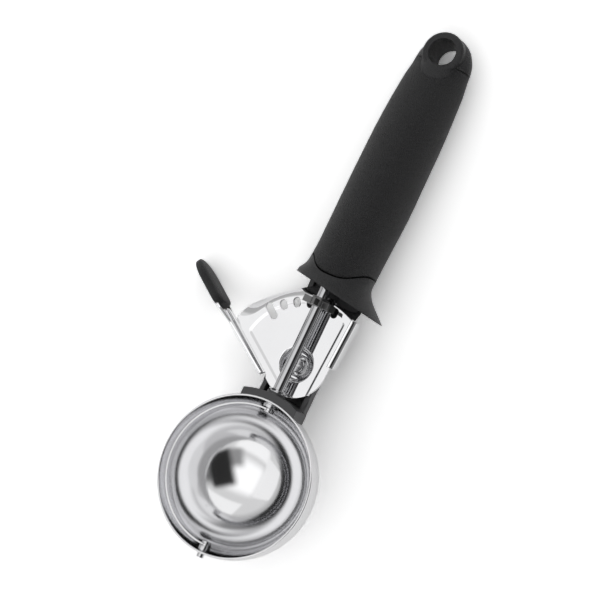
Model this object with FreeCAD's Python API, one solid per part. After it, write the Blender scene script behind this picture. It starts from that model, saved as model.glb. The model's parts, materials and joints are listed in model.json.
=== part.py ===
import FreeCAD, Part
import math
import os

# Lever ice cream scoop.
# Tool frame: X runs from the bowl to the handle end, Z out of the bowl's mouth, Y to the lever's side.
# The spindle lies on X and the origin is where it crosses the middle of the bowl.
# At the end every piece is turned into the pose in which the scoop lies on a table.

Vector = FreeCAD.Vector

# General fits
running_gap = 0.06
body_gap = 0.35
seam_gap = 0.12
overshoot = 1.0
big = 400.0
tiny = 1e-6
quarter_turn = 90.0

# Bowl
bowl_radius = 29.0
bowl_wall = 0.8
bowl_centre_rise = 1.6
bowl_rim_rise = 4.0

# Spindle
spindle_radius = 2.0
spindle_front_neck_radius = 1.3
spindle_journal_radius = 1.3
spindle_shoulder_gap = 0.3
spindle_rear_gap = 0.2
spindle_end_play = 0.4

# Scraper blade
blade_clearance = 0.4
blade_thickness = 0.6
blade_width = 5.0
blade_eye_radius = 2.1
blade_park_angle = 2.0

# Spindle cap inside the bowl
cap_radius = 1.9
cap_thickness = 0.9
cap_round = 0.3

# Far pivot rivet of the blade
far_pin_radius = 1.3
far_pin_tail = 1.6
far_head_radius = 1.9
far_head_thickness = 0.9
far_collar_radius = 2.2

# Lower bush in the saddle
lower_bush_radius = 2.6
lower_bush_flange_radius = 3.0
lower_bush_flange_thickness = 1.1
lower_bush_tail = 0.3

# Pivot of the lever
plate_back_gap = 0.8
pivot_post_radius = 2.0
pivot_boss_radius = 4.4
pivot_washer_radius = 2.9
pivot_washer_thickness = 0.5
pivot_head_radius = 2.6
pivot_head_thickness = 1.3
pivot_head_round = 0.4
pivot_slot_width = 0.9
pivot_slot_depth = 0.7

# Lever plate
plate_thickness = 1.0
plate_top = -4.4
plate_inner_radius = 12.0
rack_radius = 22.5
rack_pitch = 12.9
rack_hole_length = 3.7
rack_hole_width = 2.7
rack_holes_behind = 1
rack_holes_ahead = 3
slot_inner_radius = 18.8
slot_outer_radius = 25.6
cup_rim_radius = 5.4
cup_floor_radius = 4.9
cup_depth = 3.6
cup_shoulder_radius = 6.6
cup_shoulder_drop = 0.8
lip_start_radius = 24.4
lip_end_radius = 29.3
lip_drop = 2.8
lip_middle_drop = 0.9
lip_steps = 12
lip_side_angle = -27.0
lip_facet_angle = 60.0
field_border = 4.2
field_depth = 0.35
right_edge_angle = 3.0
left_edge_angle = 56.0
stop_flange_depth = 5.8
stop_flange_inset = 0.3
stop_flange_bend = 2.0
stop_flange_from_pivot = 3.7
stop_flange_length = 18.5
side_flange_low = 2.2
side_flange_high = 5.0
side_flange_start = 4.0
side_flange_root = 25.0
tab_root = 32.5

# Thumb tab and pad
tab_start = 31.0
tab_end = 48.7
tab_bottom_rise = 0.8
tab_top_rise = 8.6
tab_corner = 2.4
pad_start = 32.0
pad_end = 52.0
pad_thickness = 4.0
pad_inward_shift = 0.9
pad_bottom = -6.3
pad_top = 6.0
pad_edge_round = 1.6
pad_tip_radius = 5.6
pad_root_radius = 3.0

# Return spring in the plate's cup
spring_wire_radius = 0.4
spring_coil_radius = 3.75
spring_turns = 2
spring_lift = 0.35
spring_coil_gap = 0.12
spring_leg_angle = 178.0
spring_leg_rise = 1.1
spring_leg_reach = 8.9
spring_riser_radius = 0.45

# Pinion
pinion_teeth = 6
pinion_root_radius = 3.4
pinion_tip_radius = 6.0
pinion_tooth_root_width = 2.2
pinion_tooth_tip_width = 0.9
pinion_face_width = 2.4
pinion_hub_radius = 3.2
pinion_hub_length = 3.4

# Retaining clip
clip_radius = 3.2
clip_thickness = 0.6
clip_groove_depth = 0.4
clip_mouth = 2.6

# Frame
frame_waist_half_width = 9.6
frame_middle_half_width = 10.1
frame_end_half_width = 11.4
frame_reach_under_bowl = 14.0
frame_waist_before_pivot = 6.3
frame_middle_behind_pivot = 1.7
frame_end_cover = 0.3
frame_draft_width = 1.8
frame_draft_top = -10.0
frame_floor_top = -12.2
frame_floor_thickness = 2.4
frame_rib_width = 1.8
frame_rib_top = -6.2
frame_rib_length = 18.7
frame_low_rib_top = -10.0
saddle_wall = 2.5
saddle_half_width = 11.0
saddle_bottom = -6.8
saddle_top = 3.6
saddle_boss_radius = 3.45
saddle_boss_length = 0.9
tang_half_width = 5.0
tang_thickness = 3.0
tang_length = 53.9
tang_pin_radius = 1.5
tang_pin_cover = 0.3
tang_first_pin = 21.9
tang_pin_spacing = 20.0
tang_pins = 2
bowl_rivet_radius = 1.1
bowl_rivet_spread = 17.0
bowl_rivet_drop = 6.0

# Start of the handle behind the lever's pivot
handle_from_pivot = 27.8

# Handle outer shape: distance behind the handle's start, side shift, centre height, half width, half height
handle_sections = (
    (7.4, 1.0, -8.4, 12.85, 11.7),
    (11.9, 0.7, -8.5, 12.6, 11.6),
    (22.9, 0.3, -8.5, 12.7, 11.6),
    (34.9, 0.0, -8.6, 13.0, 11.5),
    (49.9, 0.0, -8.8, 13.0, 10.8),
    (65.9, 0.0, -9.2, 12.8, 9.8),
    (77.9, 0.0, -9.6, 12.2, 8.6),
    (83.9, 0.0, -9.9, 11.8, 7.5),
    (89.9, 0.0, -10.1, 11.0, 6.4),
)
handle_nose_length = 13.1
nose_steps = 6
nose_last_angle = 86.0
section_points = 24

# Guard flare in front of it: distance, side shift, centre height, half width, half height, slant
guard_sections = (
    (0.0, -2.6, -7.9, 19.0, 13.4, 9.0),
    (1.9, -1.2, -8.0, 17.0, 12.8, 6.5),
    (4.4, 0.5, -8.2, 14.6, 12.0, 3.0),
)
guard_wall = 1.8
guard_cavity_depth = 3.1
guard_sleeve_length = 14.8
guard_sleeve_wall = 1.4

# Seam between guard and grip, with a tongue of grip on top and below
seam_from_start = 10.9
seam_tongue = 5.3
seam_tongue_half_width = 12.0
seam_tongue_power = 3
seam_steps = 16

# Handle core and its hanging ring
core_from_start = 7.2
core_half_width = 8.6
core_half_height = 6.6
core_centre_height = -9.2
grip_length = 91.4
ring_from_start = 94.9
ring_radius = 7.75
ring_proud = 0.7
ring_round = 1.2
hanging_hole_radius = 5.1
ring_top = -4.1
ring_bottom = -16.1

# Upper bush in the guard
upper_bush_radius = 2.2
upper_bush_proud = 1.2
upper_bush_cover = 0.2

# Levelling on the table
mesh_tolerance = 0.05
levelling_passes = 20

# Derived places along X
bowl_inner_radius = bowl_radius - bowl_wall
blade_radius = bowl_inner_radius - bowl_centre_rise - blade_clearance
spindle_front_shoulder = blade_radius + spindle_shoulder_gap
lower_bush_flange_end = spindle_front_shoulder + lower_bush_flange_thickness
saddle_radius = bowl_radius + saddle_wall
saddle_boss_end = saddle_radius + saddle_boss_length
pivot_x = saddle_radius + plate_back_gap + plate_inner_radius
pinion_x = pivot_x + rack_radius
pinion_front = pinion_x - pinion_face_width / 2
stop_flange_start = pivot_x + stop_flange_from_pivot
stop_flange_end = stop_flange_start + stop_flange_length
frame_rib_end = pivot_x + frame_rib_length
handle_start = pivot_x + handle_from_pivot
guard_cavity_end = handle_start + guard_cavity_depth
guard_sleeve_end = guard_cavity_end + guard_sleeve_length
seam_distance = handle_start + seam_from_start
seam_front = seam_distance - seam_tongue
upper_bush_start = guard_cavity_end - upper_bush_proud
upper_bush_end = seam_front - upper_bush_cover
spindle_rear_shoulder = upper_bush_start - spindle_rear_gap
frame_channel_end = seam_front - frame_end_cover
core_start = handle_start + core_from_start
tang_end = handle_start + tang_length
tang_pin_places = [handle_start + tang_first_pin + step * tang_pin_spacing for step in range(tang_pins)]
grip_end = handle_start + grip_length
ring_x = handle_start + ring_from_start
frame_stations = (
    (bowl_radius - frame_reach_under_bowl, frame_waist_half_width),
    (pivot_x - frame_waist_before_pivot, frame_waist_half_width),
    (pivot_x + frame_middle_behind_pivot, frame_middle_half_width),
    (frame_channel_end, frame_end_half_width),
)

# Derived heights and directions
pivot = Vector(pivot_x, 0, 0)
bowl_centre = Vector(0, 0, bowl_centre_rise)
plate_bottom = plate_top - plate_thickness
cup_floor_top = plate_top - cup_depth
cup_floor_bottom = cup_floor_top - plate_thickness
frame_bottom = frame_floor_top - frame_floor_thickness
pivot_boss_top = cup_floor_bottom - body_gap
pivot_washer_bottom = cup_floor_top + body_gap
pivot_head_bottom = pivot_washer_bottom + pivot_washer_thickness
pivot_head_top = pivot_head_bottom + pivot_head_thickness
tang_top = core_centre_height + tang_thickness / 2
x_axis = Vector(1, 0, 0)
y_axis = Vector(0, 1, 0)
z_axis = Vector(0, 0, 1)


def polar(radius, degrees, height=0.0):
    """Point at a radius and angle round the lever's pivot."""
    angle = math.radians(degrees)
    return pivot + Vector(radius * math.cos(angle), radius * math.sin(angle), height)


def rod_x(radius, start, end):
    """Round bar on the spindle's axis."""
    return Part.makeCylinder(radius, end - start, Vector(start, 0, 0), x_axis)


def post_z(centre, radius, bottom, top):
    """Round post parallel to Z."""
    return Part.makeCylinder(radius, top - bottom, Vector(centre.x, centre.y, bottom), z_axis)


def block(x0, x1, y0, y1, z0, z1):
    """Rectangular block between two corners."""
    return Part.makeBox(x1 - x0, y1 - y0, z1 - z0, Vector(x0, y0, z0))


def prism(points, bottom, top):
    """Upright prism over a polygon in plan."""
    corners = [Vector(p.x, p.y, bottom) for p in points]
    face = Part.Face(Part.makePolygon(corners + corners[:1]))
    return face.extrude(Vector(0, 0, top - bottom))


def ellipse_wire(x, centre_y, centre_z, half_width, half_height, slant=0.0):
    """Ellipse across the handle, turned about Z by its slant."""
    turn = math.radians(slant)
    across = Vector(math.sin(turn), math.cos(turn), 0)
    centre = Vector(x, centre_y, centre_z)
    if half_width >= half_height:
        curve = Part.Ellipse(centre + across * half_width, centre + z_axis * half_height, centre)
    else:
        curve = Part.Ellipse(centre + z_axis * half_height, centre - across * half_width, centre)
    return Part.Wire(curve.toShape())


def smooth_section(x, centre_y, centre_z, half_width, half_height, slant=0.0):
    """Closed smooth oval across the handle, always started at the same place."""
    turn = math.radians(slant)
    across = Vector(math.sin(turn), math.cos(turn), 0)
    centre = Vector(x, centre_y, centre_z)
    ring = []
    for step in range(section_points):
        angle = 2 * math.pi * step / section_points
        side = across * (half_width * math.cos(angle))
        ring.append(centre + side + z_axis * (half_height * math.sin(angle)))
    curve = Part.BSplineCurve()
    stations = [float(step) for step in range(section_points + 1)]
    curve.interpolate(Points=ring, PeriodicFlag=True, Parameters=stations)
    return Part.Wire(curve.toShape())


def make_bowl():
    """Spun bowl: a ball shell cut off level a little above its middle."""
    outer = Part.makeSphere(bowl_radius, bowl_centre)
    inner = Part.makeSphere(bowl_inner_radius, bowl_centre)
    above = block(-big, big, -big, big, bowl_rim_rise, big)
    bowl = outer.cut(inner).cut(above)
    bowl = bowl.cut(rod_x(lower_bush_radius, 0, big))
    bowl = bowl.cut(rod_x(far_pin_radius, -big, 0))
    for rivet in bowl_rivet_axes():
        bowl = bowl.cut(Part.makeCylinder(bowl_rivet_radius, bowl_radius * 2, bowl_centre, rivet))
    return bowl


def bowl_rivet_axes():
    """Directions from the bowl's centre to the two rivets of the saddle."""
    axes = []
    for side in (-1, 1):
        spread = math.radians(side * bowl_rivet_spread)
        reach = math.sqrt(bowl_radius ** 2 - bowl_rivet_drop ** 2)
        axes.append(Vector(reach * math.cos(spread), reach * math.sin(spread), -bowl_rivet_drop).normalize())
    return axes


def make_bowl_rivets():
    """Two rivets through bowl and saddle, ground flush with the bowl's inside."""
    rivets = []
    for axis in bowl_rivet_axes():
        shank = Part.makeCylinder(bowl_rivet_radius, bowl_radius + saddle_wall, bowl_centre, axis)
        rivets.append(shank.cut(Part.makeSphere(bowl_inner_radius, bowl_centre)))
    return Part.makeCompound(rivets)


def make_scraper_blade():
    """Half hoop of strip, with a round eye at each end on the spindle's axis."""
    outer = Part.makeSphere(blade_radius)
    inner = Part.makeSphere(blade_radius - blade_thickness)
    shell = outer.cut(inner)
    half_width = blade_width / 2
    strip = block(-big, big, 0, big, -half_width, half_width)
    strip.rotate(Vector(0, 0, 0), x_axis, blade_park_angle)
    eyes = rod_x(blade_eye_radius, -big, big)
    blade = shell.common(strip.fuse(eyes))
    blade = blade.cut(rod_x(spindle_front_neck_radius, 0, big))
    blade = blade.cut(rod_x(far_pin_radius + running_gap, -big, 0))
    return blade


def make_spindle():
    """Rod from the blade's near eye to the bush in the guard."""
    neck_start = blade_radius - blade_thickness - cap_thickness
    rod = rod_x(spindle_radius, spindle_front_shoulder, spindle_rear_shoulder)
    neck = rod_x(spindle_front_neck_radius, neck_start, spindle_front_shoulder)
    journal = rod_x(spindle_journal_radius, spindle_rear_shoulder, upper_bush_end - spindle_end_play)
    groove = clip_groove().cut(rod_x(spindle_radius - clip_groove_depth, 0, big))
    return rod.cut(groove).fuse([neck, journal]).removeSplitter()


def clip_place():
    """Distance at which the retaining clip starts, just behind the lower bush."""
    return saddle_boss_end + lower_bush_tail + running_gap


def clip_groove():
    """Disc of space that the retaining clip fills."""
    return rod_x(clip_radius, clip_place(), clip_place() + clip_thickness)


def make_retaining_clip():
    """Open spring clip in the spindle's groove."""
    clip = clip_groove().cut(rod_x(spindle_radius - clip_groove_depth, 0, big))
    mouth = block(0, big, -clip_mouth / 2, clip_mouth / 2, 0, clip_radius * 2)
    return clip.cut(mouth)


def make_spindle_cap():
    """Domed nut that holds the blade's eye on the spindle's neck."""
    start = blade_radius - blade_thickness - cap_thickness
    back = math.sqrt((blade_radius - blade_thickness) ** 2 - cap_radius ** 2)
    cap = rod_x(cap_radius, start, back)
    cap = cap.cut(rod_x(spindle_front_neck_radius, start, big))
    rim = [e for e in cap.Edges if e.BoundBox.XMax < start + tiny and e.BoundBox.YMax > cap_radius - tiny]
    return cap.makeFillet(cap_round, rim)


def make_far_rivet():
    """Rivet through the bowl's far wall, on which the blade's far eye turns."""
    head_start = running_gap - math.sqrt((blade_radius - blade_thickness) ** 2 - far_head_radius ** 2)
    head = rod_x(far_head_radius, head_start, head_start + far_head_thickness)
    shank = rod_x(far_pin_radius, -bowl_radius - far_pin_tail, head_start)
    shoulder_end = -math.sqrt(bowl_inner_radius ** 2 - (far_collar_radius + bowl_centre_rise) ** 2)
    shoulder = rod_x(far_collar_radius, shoulder_end, -blade_radius - running_gap)
    return shank.fuse([head, shoulder]).removeSplitter()


def make_lower_bush():
    """Flanged bush through bowl and saddle, in which the spindle turns."""
    flange = rod_x(lower_bush_flange_radius, spindle_front_shoulder, lower_bush_flange_end)
    sleeve = rod_x(lower_bush_radius, lower_bush_flange_end, saddle_boss_end + lower_bush_tail)
    bush = flange.fuse(sleeve).removeSplitter()
    return bush.cut(rod_x(spindle_radius + running_gap, 0, big))


def make_upper_bush():
    """Plain bush in the guard, in which the spindle's thin end turns."""
    bush = rod_x(upper_bush_radius, upper_bush_start, upper_bush_end)
    return bush.cut(rod_x(spindle_journal_radius + running_gap, 0, big))


def make_pinion():
    """Six pointed teeth on a hub, fixed on the spindle."""
    hub = rod_x(pinion_hub_radius, pinion_front, pinion_front + pinion_hub_length)
    pinion = hub.fuse(rod_x(pinion_root_radius, pinion_front, pinion_front + pinion_face_width))
    root = pinion_root_radius - overshoot
    half_root = pinion_tooth_root_width / 2
    half_tip = pinion_tooth_tip_width / 2
    shape = [(-half_root, root), (-half_root, pinion_root_radius), (-half_tip, pinion_tip_radius)]
    shape = shape + [(-y, z) for y, z in reversed(shape)]
    corners = [Vector(pinion_front, y, -z) for y, z in shape]
    tooth = Part.Face(Part.makePolygon(corners + corners[:1])).extrude(x_axis * pinion_face_width)
    for step in range(pinion_teeth):
        copy = tooth.copy()
        copy.rotate(Vector(0, 0, 0), x_axis, 360.0 * step / pinion_teeth)
        pinion = pinion.fuse(copy)
    pinion = pinion.removeSplitter()
    return pinion.cut(rod_x(spindle_radius, 0, big))


def left_edge(distance, offset=0.0):
    """Point along the plate's left edge, moved outwards by the offset."""
    along = math.radians(left_edge_angle)
    start = pivot + Vector(-math.sin(along), math.cos(along), 0) * (plate_inner_radius + offset)
    return start + Vector(math.cos(along), math.sin(along), 0) * distance


def right_edge(x, offset=0.0):
    """Point along the plate's right edge, moved outwards by the offset."""
    turn = math.radians(right_edge_angle)
    across = (plate_inner_radius + offset) / math.cos(turn)
    return Vector(x, -across - (x - pivot_x) * math.tan(turn), 0)


def facet_corner():
    """Outer corner of the plate at the root of the thumb tab."""
    return left_edge(tab_root)


def plate_outline(top, bottom):
    """Upright prism of the plate: round behind the pivot, straight sides, fan in front."""
    disc = post_z(pivot, plate_inner_radius, bottom, top)
    fan = [left_edge(0), facet_corner(), polar(lip_end_radius, lip_facet_angle)]
    lip_step = (lip_side_angle - lip_facet_angle) / lip_steps
    reach = lip_end_radius / math.cos(math.radians(lip_step / 2))
    for step in range(1, lip_steps):
        fan.append(polar(reach, lip_facet_angle + lip_step * step))
    turn = math.radians(right_edge_angle)
    side_x = pivot_x + lip_end_radius * math.cos(math.radians(lip_side_angle))
    fan.append(right_edge(side_x))
    fan.append(pivot + Vector(-math.sin(turn), -math.cos(turn), 0) * plate_inner_radius)
    fan.append(pivot)
    return disc.fuse(prism(fan, bottom, top)).removeSplitter()


def plate_profile():
    """Half section of the pressed plate, as radius and height of its top face."""
    field_low = plate_top - field_depth
    return (
        (0.0, cup_floor_top),
        (cup_floor_radius, cup_floor_top),
        (cup_rim_radius, field_low - cup_shoulder_drop),
        (cup_shoulder_radius, field_low),
        (lip_start_radius - field_border / 2, field_low),
        (lip_start_radius - field_border / 2 + field_depth, plate_top),
        (lip_start_radius, plate_top),
        ((lip_start_radius + lip_end_radius) / 2, plate_top - lip_middle_drop),
        (lip_end_radius, plate_top - lip_drop),
    )


def underside(profile, thickness):
    """A profile moved down by a sheet's thickness, measured square to the sheet all along."""
    normals = []
    for (r0, z0), (r1, z1) in zip(profile, profile[1:]):
        length = math.hypot(r1 - r0, z1 - z0)
        normals.append(((z1 - z0) / length, (r0 - r1) / length))
    before = normals[:1] + normals
    after = normals + normals[-1:]
    moved = []
    for (r, z), (ar, az), (br, bz) in zip(profile, before, after):
        scale = thickness / (1 + ar * br + az * bz)
        moved.append((r + (ar + br) * scale, z + (az + bz) * scale))
    return moved


def make_pressed_disc():
    """Round pressing from which the plate is cut: cup, field and drooping lip."""
    profile = plate_profile()
    top = [pivot + Vector(r, 0, z) for r, z in profile]
    bottom = [pivot + Vector(r, 0, z) for r, z in reversed(underside(profile, plate_thickness))]
    face = Part.Face(Part.makePolygon(top + bottom + top[:1]))
    return face.revolve(pivot, z_axis, 360)


def rack_hole(angle, inner, outer):
    """Slot with round ends along one radius of the plate."""
    half = rack_hole_width / 2
    low = cup_floor_bottom
    ends = [post_z(polar(r, angle), half, low, 0) for r in (inner + half, outer - half)]
    turn = math.radians(angle)
    side = Vector(-math.sin(turn), math.cos(turn), 0) * half
    near = polar(inner + half, angle)
    far = polar(outer - half, angle)
    return prism([near - side, far - side, far + side, near + side], low, 0).fuse(ends)


def make_lever_plate():
    """Pressed sector plate with rack holes, stop flange, stiffening flange and thumb tab."""
    plate = make_pressed_disc().common(plate_outline(0, cup_floor_bottom - overshoot))

    # Flat facet between the lip and the root of the tab
    near = polar(lip_start_radius, lip_facet_angle, plate_top)
    low = polar(lip_end_radius, lip_facet_angle, plate_top - lip_drop)
    root = facet_corner() + z_axis * plate_top
    base = left_edge(side_flange_start) + z_axis * plate_top
    border_radius = lip_start_radius - field_border / 2
    deep = plate_bottom - lip_drop - overshoot
    wedge = prism([pivot, polar(big, lip_facet_angle), polar(big, lip_facet_angle + quarter_turn)], deep, 0)
    plate = plate.cut(wedge.cut(post_z(pivot, border_radius, deep, 0)))
    rim = polar(border_radius - overshoot, lip_facet_angle)
    flat = prism([rim, near, root, base, pivot], plate_bottom, plate_top)
    flat = flat.cut(post_z(pivot, border_radius - overshoot / 2, plate_bottom, plate_top))
    plate = plate.fuse([flat, slab_under([near, low, root])])

    # Rack holes, the long slot and the pivot hole
    for step in range(-rack_holes_behind, rack_holes_ahead + 1):
        half = rack_hole_length / 2
        plate = plate.cut(rack_hole(step * rack_pitch, rack_radius - half, rack_radius + half))
    slot_angle = (rack_holes_ahead + 1) * rack_pitch
    plate = plate.cut(rack_hole(slot_angle, slot_inner_radius, slot_outer_radius))
    plate = plate.cut(post_z(pivot, pivot_post_radius + running_gap, cup_floor_bottom - overshoot, 0))

    # Stop flange, bent down beside the frame
    plate = plate.cut(flange_space()).fuse(make_stop_flange())

    # Side flange, folded up along the left edge and carried on as the thumb tab
    profile = (
        (side_flange_start, plate_bottom),
        (side_flange_start, plate_top + side_flange_low / 2),
        (side_flange_start + side_flange_low / 2, plate_top + side_flange_low),
        (side_flange_root, plate_top + side_flange_high),
        (tab_start, plate_top + tab_top_rise),
        (tab_end - tab_corner, plate_top + tab_top_rise),
        (tab_end, plate_top + tab_top_rise - tab_corner),
        (tab_end, plate_top + tab_bottom_rise + tab_corner),
        (tab_end - tab_corner, plate_top + tab_bottom_rise),
        (tab_start, plate_top + tab_bottom_rise),
        (tab_root, plate_bottom),
    )
    corners = [left_edge(t) + z_axis * z for t, z in profile]
    outward = left_edge(0, plate_thickness) - left_edge(0)
    side = Part.Face(Part.makePolygon(corners + corners[:1])).extrude(outward)
    plate = plate.fuse(side)
    return plate.removeSplitter()


def flange_space():
    """Strip of the plate's edge that the bend of the stop flange replaces."""
    inner = stop_flange_bend - plate_thickness + stop_flange_inset
    corners = [right_edge(stop_flange_start, -inner), right_edge(stop_flange_end, -inner)]
    corners.append(right_edge(stop_flange_end, overshoot))
    corners.append(right_edge(stop_flange_start, overshoot))
    return prism(corners, plate_bottom - overshoot, plate_top + overshoot)


def make_stop_flange():
    """Stop flange with its bend: a section with two arcs, carried along the plate's right edge."""
    face_out = plate_thickness - stop_flange_inset
    bend_in = face_out - stop_flange_bend
    low = plate_top - stop_flange_depth
    diagonal = math.sqrt(0.5)
    inner_bend = stop_flange_bend - plate_thickness
    bend_height = plate_top - stop_flange_bend

    def at(out, height):
        return right_edge(stop_flange_start, out) + z_axis * height

    def arc(radius, start, end):
        middle = at(bend_in + radius * diagonal, bend_height + radius * diagonal)
        return Part.Arc(start, middle, end).toShape()

    top_out = at(bend_in, plate_top)
    side_out = at(face_out, bend_height)
    side_in = at(face_out - plate_thickness, bend_height)
    top_in = at(bend_in, plate_bottom)
    low_out = at(face_out, low)
    low_in = at(face_out - plate_thickness, low)
    edges = [arc(stop_flange_bend, top_out, side_out), Part.makeLine(side_out, low_out)]
    edges.append(Part.makeLine(low_out, low_in))
    edges.append(Part.makeLine(low_in, side_in))
    edges.append(arc(inner_bend, side_in, top_in))
    edges.append(Part.makeLine(top_in, top_out))
    run = right_edge(stop_flange_end) - right_edge(stop_flange_start)
    return Part.Face(Part.Wire(edges)).extrude(run)


def slab_under(points):
    """Sheet of plate thickness under a flat triangle."""
    drop = Vector(0, 0, -plate_thickness)
    face = Part.Face(Part.makePolygon(points + points[:1]))
    return face.extrude(drop)


def make_thumb_pad():
    """Soft sleeve over the thumb tab, with all edges rounded."""
    half = pad_thickness / 2
    middle = left_edge(0, plate_thickness / 2 - pad_inward_shift) - left_edge(0)
    along = (left_edge(1) - left_edge(0))
    across = Vector(-along.y, along.x, 0)
    start = left_edge(pad_start) + middle - across * half
    height = pad_top - pad_bottom
    length = pad_end - pad_start
    slab = Part.makeBox(length, pad_thickness, height)
    tips = [e for e in slab.Edges if is_across(e) and e.CenterOfMass.x > length / 2]
    slab = slab.makeFillet(pad_tip_radius, tips)
    roots = [e for e in slab.Edges if is_across(e) and e.CenterOfMass.x < pad_root_radius / 2]
    slab = slab.makeFillet(pad_root_radius, roots)
    slab = slab.makeFillet(pad_edge_round, [e for e in slab.Edges if not is_across(e)])
    slab.translate(Vector(0, 0, pad_bottom))
    slab.rotate(Vector(0, 0, 0), z_axis, left_edge_angle)
    slab.translate(start)
    return slab.cut(make_lever_plate())


def is_across(edge):
    """True for an edge that runs straight through the pad's thickness."""
    box = edge.BoundBox
    return box.YLength > pad_thickness / 2 and box.XLength < tiny and box.ZLength < tiny


def make_pivot_post():
    """Riveted post on which the lever turns."""
    return post_z(pivot, pivot_post_radius, frame_bottom, pivot_washer_bottom)


def make_pivot_washer():
    """Thin washer between the lever plate and the screw's head."""
    return post_z(pivot, pivot_washer_radius, pivot_washer_bottom, pivot_head_bottom)


def make_pivot_screw():
    """Slotted round head on the post."""
    head = post_z(pivot, pivot_head_radius, pivot_head_bottom, pivot_head_top)
    rim = [e for e in head.Edges if abs(e.BoundBox.ZMin - pivot_head_top) < tiny]
    head = head.makeFillet(pivot_head_round, rim)
    half = pivot_slot_width / 2
    slot = block(pivot_x - half, pivot_x + half, -big, big, pivot_head_top - pivot_slot_depth, big)
    return head.cut(slot)


def make_return_spring():
    """Torsion spring round the screw's head: a close helix and a leg that hooks over the plate."""
    pitch = spring_wire_radius * 2 + spring_coil_gap
    base = cup_floor_top + spring_lift + spring_wire_radius
    helix = Part.makeHelix(pitch, pitch * spring_turns, spring_coil_radius)
    helix.translate(Vector(pivot_x, 0, base))
    start = Vector(pivot_x + spring_coil_radius, 0, base)
    circle = Part.Wire(Part.Circle(start, y_axis, spring_wire_radius).toShape())
    coil = Part.Wire(helix.Edges).makePipeShell([circle], True, True)
    riser_foot = base + pitch * spring_turns - spring_wire_radius
    arm_height = plate_top + spring_leg_rise + spring_wire_radius
    post = pivot + x_axis * spring_coil_radius
    riser = post_z(post, spring_riser_radius, riser_foot, arm_height)
    arm_start = post + Vector(-spring_wire_radius, 0, arm_height)
    reach = spring_leg_reach - spring_coil_radius + spring_wire_radius
    arm = Part.makeCylinder(spring_wire_radius, reach, arm_start, x_axis)
    spring = coil.fuse([riser, arm]).removeSplitter()
    spring.rotate(pivot, z_axis, spring_leg_angle)
    return spring


def tang_block(start, bottom):
    """Flat bar of the tang, up to its end in the handle."""
    return block(start, tang_end, -tang_half_width, tang_half_width, bottom, tang_top)


def channel_section(x, half, top):
    """Section of the frame's channel: upright sides that lean in towards the bottom."""
    low = half - frame_draft_width
    left = [(-low, frame_bottom), (-half, frame_draft_top), (-half, top)]
    shape = left + [(-y, z) for y, z in reversed(left)]
    corners = [Vector(x, y, z) for y, z in shape]
    return Part.makePolygon(corners + corners[:1])


def channel_block(top):
    """Solid channel under the lever, waisted behind the saddle and widening to the guard."""
    parts = []
    sections = [channel_section(x, half, top) for x, half in frame_stations]
    for front, back in zip(sections, sections[1:]):
        parts.append(Part.makeLoft([front, back], True, True))
    return parts[0].fuse(parts[1:]).removeSplitter()


def channel_pocket():
    """Space between the two ribs of the channel, above its floor."""
    inner = [Vector(x, half - frame_rib_width, 0) for x, half in frame_stations]
    mirrored = [Vector(p.x, -p.y, 0) for p in reversed(inner)]
    return prism(inner + mirrored, frame_floor_top, 0)


def make_frame():
    """Cast frame: saddle round the bowl, channel under the lever and a tang in the handle."""
    half = saddle_half_width
    channel = channel_block(frame_rib_top)
    low_ribs = block(frame_rib_end, big, -big, big, frame_low_rib_top, 0)
    channel = channel.cut(low_ribs)
    saddle = post_z(bowl_centre, saddle_radius, saddle_bottom, saddle_top)
    saddle = saddle.common(block(0, big, -half, half, saddle_bottom, saddle_top))
    root = post_z(bowl_centre, saddle_radius, frame_bottom, frame_rib_top).common(channel)
    channel = channel.cut(channel_pocket())
    frame = channel.fuse([saddle, root, rod_x(saddle_boss_radius, bowl_inner_radius, saddle_boss_end)])
    frame = frame.cut(Part.makeSphere(bowl_radius, bowl_centre))
    frame = frame.fuse(post_z(pivot, pivot_boss_radius, frame_floor_top, pivot_boss_top))
    frame = frame.fuse(tang_block(frame_channel_end, tang_top - tang_thickness))
    tang_root = tang_block(frame_channel_end - frame_rib_width, frame_bottom)
    tang_root = tang_root.cut(block(frame_channel_end, big, -big, big, -big, 0))
    frame = frame.fuse(tang_root).removeSplitter()
    frame = frame.cut(post_z(pivot, pivot_post_radius, frame_bottom, 0))
    frame = frame.cut(rod_x(lower_bush_radius, 0, saddle_boss_end + overshoot))
    for place in tang_pin_places:
        frame = frame.cut(post_z(Vector(place, 0, 0), tang_pin_radius, frame_bottom, tang_top))
    for axis in bowl_rivet_axes():
        frame = frame.cut(Part.makeCylinder(bowl_rivet_radius, bowl_radius * 2, bowl_centre, axis))
    return frame


def handle_form():
    """Whole outer form of guard and grip, from the flared rim to the rounded nose."""
    wires = [smooth_section(handle_start + x, y, z, w, h, s) for x, y, z, w, h, s in guard_sections]
    wires = wires + [smooth_section(handle_start + x, y, z, w, h) for x, y, z, w, h in handle_sections]
    last_x, last_y, last_z, last_w, last_h = handle_sections[-1]
    for step in range(1, nose_steps + 1):
        angle = math.radians(nose_last_angle * step / nose_steps)
        shrink = math.cos(angle)
        x = handle_start + last_x + handle_nose_length * math.sin(angle)
        wires.append(smooth_section(x, last_y, last_z, last_w * shrink, last_h * shrink))
    return Part.makeLoft(wires, True, False)


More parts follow.
